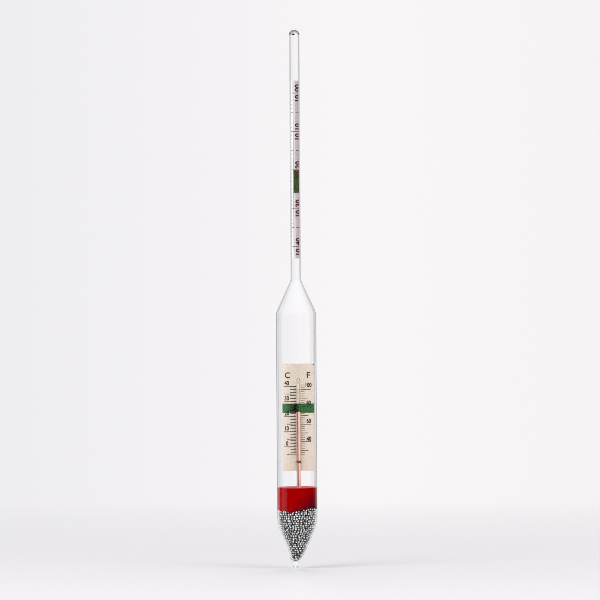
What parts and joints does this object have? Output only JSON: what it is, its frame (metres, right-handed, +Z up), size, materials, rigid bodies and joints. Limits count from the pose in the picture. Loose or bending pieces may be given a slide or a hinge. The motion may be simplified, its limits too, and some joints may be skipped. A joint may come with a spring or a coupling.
{
  "type": "thermo-hydrometer",
  "caption": "Sealed glass float with a rolled density scale in its stem, a spirit thermometer on a card in its barrel, and steel shot locked under red wax in its conical tip.",
  "frame": {"origin": "lowest point of the glass tip, on the axis of the barrel and the stem", "axes": "+Z up the axis from the tip to the closed end of the stem; -Y out of the printed face of both scales; +X towards the Fahrenheit side of the card"},
  "size_m": [0.0192, 0.0192, 0.2592],
  "materials": {
    "envelope_glass": "clear, fire polished",
    "thermometer_glass": "clear",
    "scale_paper": "matt white paper, printed",
    "scale_card": "matt buff card, printed",
    "red_spirit": "dyed liquid",
    "red_wax": "smooth cast wax",
    "steel_shot": "bright steel balls",
    "clear_adhesive": "clear dried glue"
  },
  "bodies": {
    "float": {"bulb_glass": "envelope_glass", "stem_glass": "envelope_glass", "density_slip": "scale_paper", "slip_glue_lower": "clear_adhesive", "slip_glue_upper": "clear_adhesive", "thermometer_bulb": "thermometer_glass", "thermometer_stem": "thermometer_glass", "spirit_reservoir": "red_spirit", "spirit_thread": "red_spirit", "thermometer_card": "scale_card", "card_glue_lower": "clear_adhesive", "card_glue_upper": "clear_adhesive", "wax_plug": "red_wax", "ballast_shot": "steel_shot"},
    "spirit_level": {"spirit_meniscus": "red_spirit"}
  },
  "joints": [
    {"name": "spirit_rise", "type": "slide", "parent": "float", "child": "spirit_level", "axis": [0, 0, 1], "range_m": [-0.0204, 0.012], "deforming": ["spirit_thread"]}
  ]
}
